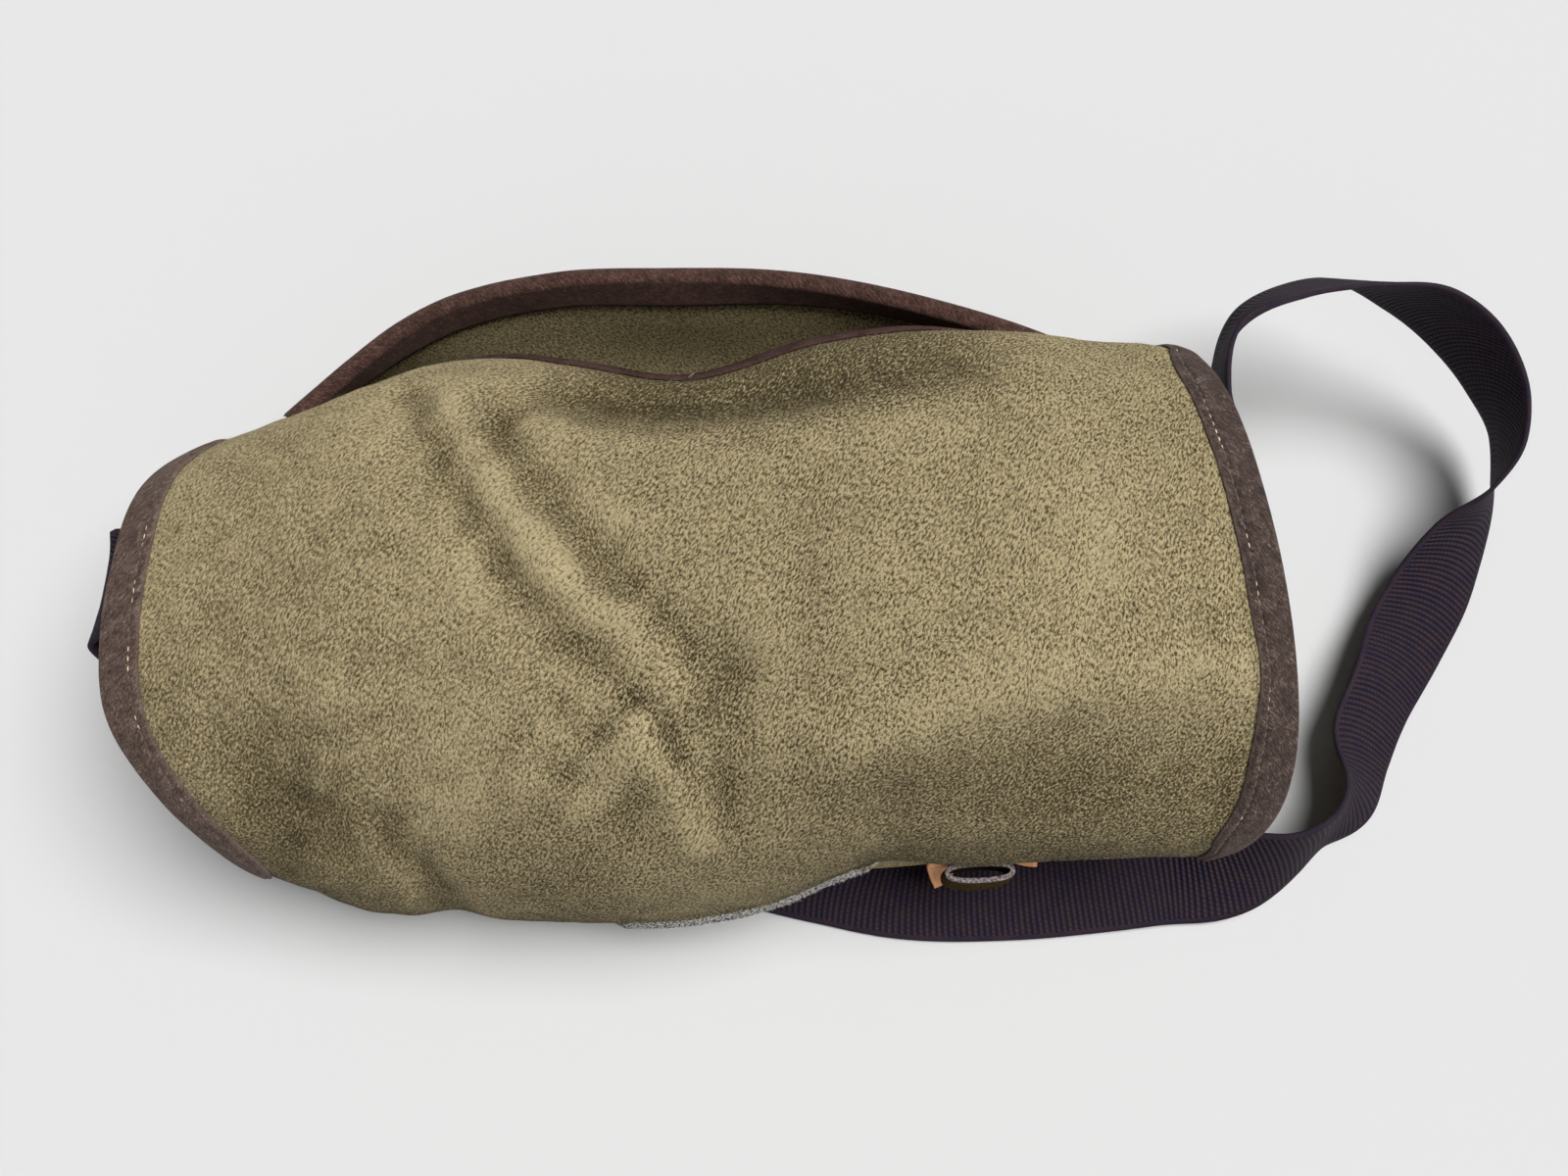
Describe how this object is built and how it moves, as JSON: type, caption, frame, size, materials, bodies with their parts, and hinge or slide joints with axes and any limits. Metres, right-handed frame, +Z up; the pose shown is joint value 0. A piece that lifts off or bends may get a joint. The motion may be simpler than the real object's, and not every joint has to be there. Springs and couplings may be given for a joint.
{
  "type": "hunting game bag",
  "caption": "Soft wool shoulder bag with a large domed flap, a gaping back pocket, suede bindings and a webbing shoulder strap.",
  "frame": {"origin": "on the underside of the base panel, below the middle of the bag's mouth", "axes": "+X along the bag to its right end as seen from the front, -Y out of the front under the flap's free edge, +Z up"},
  "size_m": [0.5657, 0.262, 0.1706],
  "materials": {
    "olive_wool": "thick felted wool, speckled olive, dull",
    "brown_suede": "dark brown suede, dull",
    "dark_suede": "dark reddish-brown suede, dull",
    "dark_leather": "thin dark brown leather, satin",
    "tan_leather": "tan leather, satin",
    "dark_green_leather": "thick dark leather, satin",
    "black_webbing": "ribbed black webbing with a slight purple cast"
  },
  "bodies": {
    "root": {"front_panel": "olive_wool", "back_panel": "olive_wool", "gusset_left": "olive_wool", "gusset_right": "olive_wool", "base_panel": "olive_wool", "flap": "olive_wool", "flap_binding_left": "brown_suede", "flap_binding_right": "brown_suede", "flap_top_binding": "dark_leather", "back_pocket": "olive_wool", "back_pocket_binding": "dark_suede", "shoulder_strap": "black_webbing", "closure_patch": "tan_leather", "closure_loop": "dark_green_leather"}
  },
  "joints": []
}
